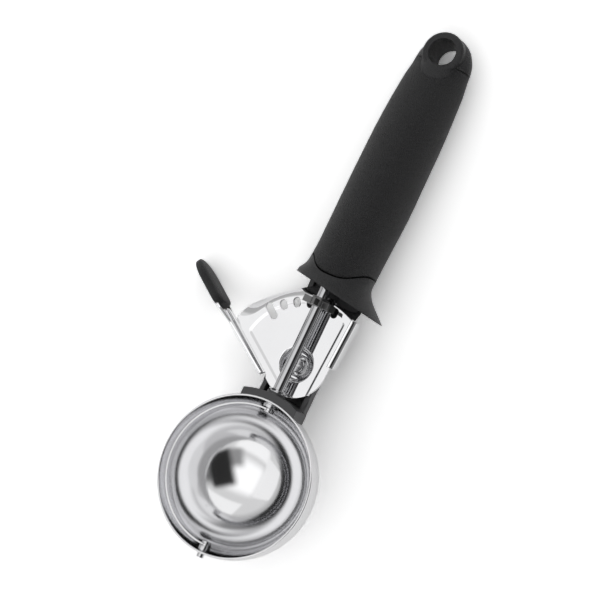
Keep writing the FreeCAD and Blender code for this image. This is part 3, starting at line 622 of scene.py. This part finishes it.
join(plate, stop_flange, left_flange, tab)
plate_chrome = finish("plate_chrome", dark=(0.76, 0.76, 0.77), light=(0.84, 0.84, 0.85), metallic=1.0,
                      gloss=(0.04, 0.07), grain=300.0, depth=0.000002, patch=40.0, edge=0.1)
plate.data.materials.clear()
plate.data.materials.append(plate_chrome)
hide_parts("lever_plate")
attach(plate, "lever")


# Thumb pad
# A moulded sleeve of black rubber with a fine grain, pushed over the tab and past its end. It is a flat
# rounded paddle, a little thinner at its rim.
pad_start = 32.0
pad_end = 52.0
pad_tip = 9.0
pad_tip_power = 2.1
pad_root = 3.0
pad_root_size = 0.35
pad_middle = -0.4
pad_thickness = 4.0
pad_thin_power = 0.45
pad_side_power = 0.6
pad_crown_power = 0.62
pad_bottom = -6.3
pad_top = 5.9


def rounded(wave, power):
    """A sine or cosine wave made fuller, with its sign kept: the side of a superellipse."""
    return np.sign(wave) * np.abs(wave) ** power


def pad_grid(rows=72, columns=72):
    """Superellipse sections, wider than thick, whose size follows a rounded paddle from root to tip."""
    share = (1 - np.cos(np.linspace(0, np.pi, rows))) / 2
    along = pad_start + (pad_end - pad_start) * share
    ahead = np.clip((along - pad_end + pad_tip) / pad_tip, 0, 1)
    behind = np.clip((pad_start + pad_root - along) / pad_root, 0, 1)
    tip_size = (1 - ahead ** pad_tip_power) ** (1 / pad_tip_power)
    root_size = pad_root_size + (1 - pad_root_size) * np.sqrt(1 - behind ** 2)
    size = np.minimum(tip_size, root_size)
    size[0] = size[-1] = 0.0
    angle = np.linspace(0, 2 * np.pi, columns, endpoint=False)
    across = rounded(np.cos(angle), pad_side_power)
    tall = rounded(np.sin(angle), pad_crown_power)
    offset = pad_middle + pad_thickness / 2 * (size ** pad_thin_power)[:, None] * across
    height = (pad_top + pad_bottom) / 2 + (pad_top - pad_bottom) / 2 * size[:, None] * tall
    return np.concatenate([left_edge(along[:, None], offset), height[..., None]], -1)


pad_rubber = finish("pad_rubber", dark=(0.009, 0.009, 0.010), light=(0.018, 0.018, 0.019), metallic=0.0,
                    gloss=(0.38, 0.48), grain=2600.0, depth=0.0003, specular=0.4)
pad = skin("thumb_sleeve", pad_grid())
pad.data.materials.append(pad_rubber)
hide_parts("thumb_pad")
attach(pad, "lever")


# Return spring
# Music wire wound in two turns round the screw's head. On the real scoop its upper leg hooks over the lever
# plate and goes with it, while the coil's lower end stays with the body; here the wire is one fixed piece,
# attached to neither.
spring_wire_radius = 0.4
coil_radius = 3.75
coil_turns = 2
coil_base = -7.25
coil_pitch = 0.92
riser_height = 2.5
leg_length = 5.1
leg_angle = math.radians(178.0)


def spring_path(coil_steps=160, riser_steps=12, leg_steps=24, rounds=4):
    """Helix, a short riser and a straight leg, with their corners smoothed by averaging neighbours."""
    turn = np.linspace(0, 2 * np.pi * coil_turns, coil_steps) + leg_angle
    rise = np.linspace(0, coil_pitch * coil_turns, coil_steps) + coil_base
    coil = np.stack([coil_radius * np.cos(turn), coil_radius * np.sin(turn), rise], 1)
    leg_way = np.array([math.cos(leg_angle), math.sin(leg_angle), 0.0])
    riser = coil[-1] + np.linspace(0, 1, riser_steps)[1:, None] * np.array([0, 0, riser_height])
    leg = riser[-1] + np.linspace(0, 1, leg_steps)[1:, None] * leg_way * leg_length
    path = np.vstack([coil, riser, leg])
    for _ in range(rounds):
        path[1:-1] = (path[:-2] + 2 * path[1:-1] + path[2:]) / 4
    return path + np.array([pivot_x, 0.0, 0.0])


def spring_grid(path, radius, sides=14, lean=(0.06, 0.2, 1.0)):
    """Round wire along a path: a circle square to the path at each point, closed to a point at both ends.
    The circles start from the leaning direction, which the wire never takes."""
    along = np.gradient(path, axis=0)
    along = along / np.linalg.norm(along, axis=1)[:, None]
    side = np.cross(along, lean)
    side = side / np.linalg.norm(side, axis=1)[:, None]
    other = np.cross(along, side)
    angle = np.linspace(0, 2 * np.pi, sides, endpoint=False)
    size = np.full(len(path), radius)
    size[0] = size[-1] = 0.0
    around = np.cos(angle)[:, None] * side[:, None] + np.sin(angle)[:, None] * other[:, None]
    return path[:, None] + size[:, None, None] * around


spring = skin("spring_wire", spring_grid(spring_path(), spring_wire_radius))
spring_wire = turned_steel("spring_wire", dark=(0.50, 0.50, 0.51), light=(0.60, 0.60, 0.61),
                           gloss=(0.14, 0.22), axis="z", rings=6.0, depth=0.000002)
spring.data.materials.append(spring_wire)
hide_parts("return_spring")
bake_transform(spring)


# Guard and handle core
# Hard black plastic, moulded in one skin with a fine spark texture. The guard flares in front of the fingers
# and the core ends in the loop with its raised ring. A painted dark line, painted shade of the groove, marks
# the joint between the guard and the grip.
seam_x = pivot_x + 38.7
seam_tongue = 5.3
seam_half_width = 12.0
seam_power = 3.0
seam_gap = 0.28


def seam_shade_group():
    """Mask of the painted shade line in the wavy joint's groove: 1 where x is within the gap of the tongue's
    curve over y, 0 away from it.
    """
    tree, entry, leave = new_group("seam_shade", ["x", "y"], [("mask", "NodeSocketFloat")])
    share = wire(tree, "ShaderNodeMath", entry.outputs["y"], seam_half_width, operation="DIVIDE")
    share = wire(tree, "ShaderNodeMath", share, operation="ABSOLUTE")
    share = wire(tree, "ShaderNodeMath", share, seam_power, operation="POWER")
    share = wire(tree, "ShaderNodeMath", 1.0, share, operation="SUBTRACT")
    share = wire(tree, "ShaderNodeMath", share, 0.0, operation="MAXIMUM")
    share = wire(tree, "ShaderNodeMath", share, 2.0, operation="POWER")
    share = wire(tree, "ShaderNodeMath", share, seam_tongue, operation="MULTIPLY")
    behind = wire(tree, "ShaderNodeMath", entry.outputs["x"], share, operation="ADD")
    behind = wire(tree, "ShaderNodeMath", behind, seam_x, operation="SUBTRACT")
    behind = wire(tree, "ShaderNodeMath", behind, operation="ABSOLUTE")
    mask = wire(tree, "ShaderNodeMapRange", behind, seam_gap, seam_gap * 2, 1.0, 0.0)
    tree.links.new(mask, leave.inputs["mask"])
    return tree


def paint_seam_shade(made):
    """Paints the groove's shade into a material as a line along the joint: black and dull, and a metal
    there, because black metal shines least.
    """
    tree = made.node_tree
    shader = tree.nodes["Principled BSDF"]
    spot = use_group(tree, tool_place)
    line = use_group(tree, seam_shade, x=spot.outputs["x"], y=spot.outputs["y"]).outputs["mask"]
    colour = shader.inputs["Base Color"].links[0].from_socket
    gloss = shader.inputs["Roughness"].links[0].from_socket
    tree.links.new(mix_colours(tree, line, colour, (0.0, 0.0, 0.0, 1.0)), shader.inputs["Base Color"])
    dull = wire(tree, "ShaderNodeMath", gloss, line, operation="MAXIMUM")
    tree.links.new(dull, shader.inputs["Roughness"])
    tree.links.new(line, shader.inputs["Metallic"])


# Painted shade: a black line along the joint between the guard and the grip.
seam_shade = seam_shade_group()
hard_black = finish("hard_black", dark=(0.010, 0.010, 0.011), light=(0.018, 0.018, 0.019), metallic=0.0,
                    gloss=(0.30, 0.40), grain=2200.0, depth=0.0002, edge=0.35, specular=0.4)
# The guard's and core's material gets the painted shade line of the joint's groove.
paint_seam_shade(hard_black)
dress(hard_black, "guard", "handle_core")


# Grip
# Soft black rubber moulded over the core, with a finer and duller grain than the guard. Its ends are eased,
# and it makes room for the ring of the hanging hole.
handle_stations = np.array([
    (35.2, 1.0, -8.4, 12.85, 11.7),
    (39.7, 0.7, -8.5, 12.6, 11.6),
    (50.7, 0.3, -8.5, 12.7, 11.6),
    (62.7, 0.0, -8.6, 13.0, 11.5),
    (77.7, 0.0, -8.8, 13.0, 10.8),
    (93.7, 0.0, -9.2, 12.8, 9.8),
    (105.7, 0.0, -9.6, 12.2, 8.6),
    (111.7, 0.0, -9.9, 11.8, 7.5),
    (117.7, 0.0, -10.1, 11.0, 6.4),
    (119.08, 0.0, -10.1, 10.94, 6.36),
])
grip_end_x = pivot_x + 119.08
ring_x = pivot_x + 122.7
ring_reach = 7.87
ring_room_height = (-30.0, 10.0)
grip_wall = 2.0
grip_round = 0.5


def handle_shape(x):
    """Side shift, middle height, half width and half height of the handle's oval along x, by smooth curves
    through the stations (cubic between neighbours, with slopes from the stations on both sides)."""
    stations = handle_stations[:, 0] + pivot_x
    sizes = handle_stations[:, 1:]
    slopes = np.gradient(sizes, stations, axis=0)
    index = np.clip(np.searchsorted(stations, x) - 1, 0, len(stations) - 2)
    gap = (stations[index + 1] - stations[index])[..., None]
    part = (np.clip(x, stations[0], stations[-1]) - stations[index])[..., None] / gap
    early = (1 + 2 * part) * (1 - part) ** 2 * sizes[index] + part * (1 - part) ** 2 * gap * slopes[index]
    late = part ** 2 * (3 - 2 * part) * sizes[index + 1] + part ** 2 * (part - 1) * gap * slopes[index + 1]
    return early + late


def grip_grid(rows=120, columns=160, round_steps=6):
    """Oval sleeve: outer skin from the wavy joint to the loop, eased ends and an inner skin back again."""
    angle = np.linspace(0, 2 * np.pi, columns, endpoint=False)
    ease = np.linspace(0, np.pi / 2, round_steps)
    bend = grip_round * (1 - np.cos(ease))
    rise = grip_round * (1 - np.sin(ease))
    between = np.linspace(0, 1, rows)[1:-1]
    share = np.concatenate([np.zeros(round_steps), between, np.ones(round_steps), [1.0, 0.0, 0.0]])
    shift = np.concatenate([bend, np.zeros(rows - 2), -rise, np.zeros(3)])
    inward = np.concatenate([rise, np.zeros(rows - 2), bend, [grip_wall, grip_wall, grip_round]])
    front = handle_shape(np.full(columns, seam_x))
    front_y = front[:, 0] + front[:, 2] * np.cos(angle)
    fade = np.clip(1 - np.abs(front_y / seam_half_width) ** seam_power, 0, None) ** 2
    start = seam_x - seam_tongue * fade
    x = start + share[:, None] * (grip_end_x - start) + shift[:, None]
    size = handle_shape(x)
    y = size[..., 0] + (size[..., 2] - inward[:, None]) * np.cos(angle)
    z = size[..., 1] + (size[..., 3] - inward[:, None]) * np.sin(angle)
    return np.stack([x, y, z], -1)


grip = skin("grip_sleeve", grip_grid())
ring_turn = np.linspace(0, 2 * np.pi, 64, endpoint=False)
ring_plan = np.stack([ring_x + ring_reach * np.cos(ring_turn), ring_reach * np.sin(ring_turn)], 1)
ring_room = upright_bar("ring_room", ring_plan, *ring_room_height)
cut_with(grip, ring_room)
baked(grip, [ring_room])
grip.data.set_sharp_from_angle(angle=shade_crease)
soft_black = finish("soft_black", dark=(0.012, 0.012, 0.013), light=(0.022, 0.022, 0.023), metallic=0.0,
                    gloss=(0.42, 0.52), grain=2600.0, depth=0.0007, edge=0.35)
grip.data.materials.clear()
grip.data.materials.append(soft_black)
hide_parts("grip")
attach(grip, "body")


# Floor
# A wide pale sheet that the scoop lies on. The camera sees its colour brighter than the light that it gives
# back to the scoop, and the shiny metal sees it a little brighter.
floor_half = 3.0
floor_colour = (0.9, 0.9, 0.9)
seen_colour = (1.75, 1.75, 1.75, 1.0)
glossy_share = 0.35
floor_corners = [(sx * floor_half, sy * floor_half, 0) for sx, sy in ((-1, -1), (1, -1), (1, 1), (-1, 1))]
floor_mesh = bpy.data.meshes.new("floor")
floor_mesh.from_pydata(floor_corners, [], [(0, 1, 2, 3)])
floor = bpy.data.objects.new("floor", floor_mesh)
bpy.context.scene.collection.objects.link(floor)
floor_paint = material("floor_paint", floor_colour, metallic=0.0, roughness=0.9, specular=0.0)
paint_tree = floor_paint.node_tree
rays = paint_tree.nodes.new("ShaderNodeLightPath").outputs
seen_part = wire(paint_tree, "ShaderNodeMath", rays["Is Glossy Ray"], glossy_share, operation="MULTIPLY")
seen_part = wire(paint_tree, "ShaderNodeMath", rays["Is Camera Ray"], seen_part, operation="MAXIMUM")
floor_tone = mix_colours(paint_tree, seen_part, (*floor_colour, 1.0), seen_colour)
paint_tree.links.new(floor_tone, paint_tree.nodes["Principled BSDF"].inputs["Base Color"])
floor.data.materials.append(floor_paint)


# Camera
# It looks straight down from 600 mm above the spindle, with the handle pointing about 65 degrees up to the
# right. Its lens is given in pixels of the square picture, and turned into millimetres of the sensor.
camera_height = 600.0
heading = math.radians(64.69)
picture_right = np.array([math.cos(heading), -math.sin(heading), 0.0])
picture_up = np.array([math.sin(heading), math.cos(heading), 0.0])
right_shift = 21.88
up_shift = 61.67
focal_pixels = 1722.0
picture_pixels = 600.0
camera_data = bpy.data.cameras.new("camera")
camera_data.lens = focal_pixels / picture_pixels * camera_data.sensor_width
camera = bpy.data.objects.new("camera", camera_data)
eye = tool_origin + (picture_right * right_shift + picture_up * up_shift) * millimetre
camera.location = (eye + np.array([0, 0, camera_height * millimetre])).tolist()
camera.rotation_euler = (0.0, 0.0, -heading)
bpy.context.scene.collection.objects.link(camera)
bpy.context.scene.camera = camera


# Studio
# A tent of soft panels: a bright ceiling box, side panels with dimmer gaps between them and a dark opening
# on the right, which draws the dark lines in the bright metal. Panel places are sideways reach over height.
def panel_group():
    """Soft-edged rectangle on the ceiling: 1 inside the half sizes round a centre, 0 beyond the edge."""
    names = ["right", "up", "centre_right", "centre_up", "half_right", "half_up", "turn", "edge"]
    tree, entry, leave = new_group("panel", names, [("mask", "NodeSocketFloat")])
    feed = entry.outputs
    spot = wire(tree, "ShaderNodeCombineXYZ", feed["right"], feed["up"])
    centre = wire(tree, "ShaderNodeCombineXYZ", feed["centre_right"], feed["centre_up"])
    away = wire(tree, "ShaderNodeVectorMath", spot, centre, operation="SUBTRACT")
    about_z = {"rotation_type": "Z_AXIS"}
    turned_by = {"Vector": away, "Angle": feed["turn"]}
    aligned = named(tree, "ShaderNodeVectorRotate", about_z, turned_by, "Vector")
    parts = tree.nodes.new("ShaderNodeSeparateXYZ")
    tree.links.new(aligned, parts.inputs["Vector"])
    masks = []
    for part, half in (("X", "half_right"), ("Y", "half_up")):
        reach = wire(tree, "ShaderNodeMath", parts.outputs[part], operation="ABSOLUTE")
        inside = wire(tree, "ShaderNodeMath", feed[half], reach, operation="SUBTRACT")
        inside = wire(tree, "ShaderNodeMath", inside, feed["edge"], operation="DIVIDE")
        smooth = {"interpolation_type": "SMOOTHSTEP"}
        masks.append(wire(tree, "ShaderNodeMapRange", inside, -0.5, 0.5, 0.0, 1.0, **smooth))
    tree.links.new(wire(tree, "ShaderNodeMath", *masks, operation="MULTIPLY"), leave.inputs["mask"])
    return tree


least_height = 0.05
wall_level = 0.50
tent_level = 0.80
wall_top = 0.34
tent_foot = 0.48
studio_panels = (
    {"level": 0.18, "centre": (2.40, -1.00), "half": (1.75, 1.30), "degrees": 0.0, "edge": 0.40},
    {"level": 1.10, "centre": (0.70, 1.20), "half": (0.75, 0.50), "degrees": 25.0, "edge": 0.14},
    {"level": 1.15, "centre": (-0.72, -0.95), "half": (0.64, 0.48), "degrees": 25.0, "edge": 0.24},
    {"level": 1.06, "centre": (-1.35, 0.35), "half": (0.60, 0.75), "degrees": 25.0, "edge": 0.14},
    {"level": 1.30, "centre": (-0.24, 0.13), "half": (0.46, 0.46), "degrees": 25.0, "edge": 0.36},
    {"level": 0.34, "centre": (0.08, -0.44), "half": (0.26, 0.28), "degrees": 0.0, "edge": 0.26},
    {"level": 0.03, "centre": (0.47, -0.14), "half": (0.36, 0.54), "degrees": -12.0, "edge": 0.24},
)
panel = panel_group()
world = bpy.data.worlds.new("studio")
bpy.context.scene.world = world
world.use_nodes = True
sky = world.node_tree
way = wire(sky, "ShaderNodeTexCoord")
upward = wire(sky, "ShaderNodeVectorMath", way, (0, 0, 1), output=1, operation="DOT_PRODUCT")
height_part = wire(sky, "ShaderNodeMath", upward, least_height, operation="MAXIMUM")
ceiling = []
for axis in (picture_right, picture_up):
    sideways = wire(sky, "ShaderNodeVectorMath", way, tuple(axis), output=1, operation="DOT_PRODUCT")
    ceiling.append(wire(sky, "ShaderNodeMath", sideways, height_part, operation="DIVIDE"))
light = wire(sky, "ShaderNodeMapRange", upward, wall_top, tent_foot, wall_level, tent_level)
for board in studio_panels:
    shape = use_group(sky, panel, right=ceiling[0], up=ceiling[1], turn=math.radians(board["degrees"]),
                      centre_right=board["centre"][0], centre_up=board["centre"][1],
                      half_right=board["half"][0], half_up=board["half"][1], edge=board["edge"])
    feeds = {"Factor": shape.outputs["mask"], "A": light, "B": board["level"]}
    light = named(sky, "ShaderNodeMix", {}, feeds, "Result")
camera_ray = sky.nodes.new("ShaderNodeLightPath").outputs["Is Camera Ray"]
shown = named(sky, "ShaderNodeMix", {}, {"Factor": camera_ray, "A": light, "B": 1.0}, "Result")
sky.links.new(shown, sky.nodes["Background"].inputs["Color"])

bpy.context.scene.view_settings.view_transform = "Standard"
